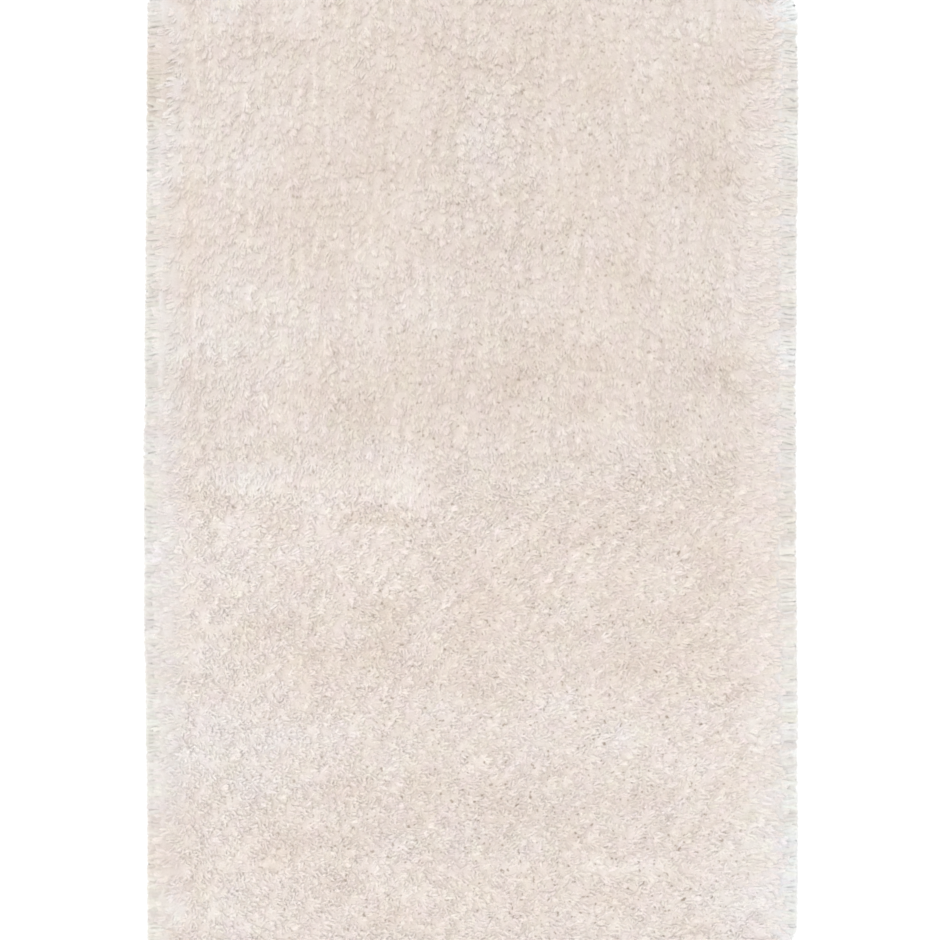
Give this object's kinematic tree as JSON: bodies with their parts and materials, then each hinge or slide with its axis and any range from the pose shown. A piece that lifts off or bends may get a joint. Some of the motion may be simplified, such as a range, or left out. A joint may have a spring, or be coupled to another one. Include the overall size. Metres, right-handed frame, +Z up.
{
  "type": "shag rug",
  "caption": "Rectangular cream shag rug that lies flat on a floor: thick, lumpy tufted pile with pointed locks round a softly rounded rim and a flat underside.",
  "frame": {"origin": "middle of the flat underside, on the floor", "axes": "+X across the rug's width, +Y along its length, +Z up from the underside through the pile"},
  "size_m": [1.5199, 2.29, 0.0391],
  "materials": {
    "pile": "soft matt yarn pile, cream to ivory, lighter where it lies over and warmer between the tufts"
  },
  "bodies": {
    "root": {"shag_rug": "pile"}
  },
  "joints": []
}
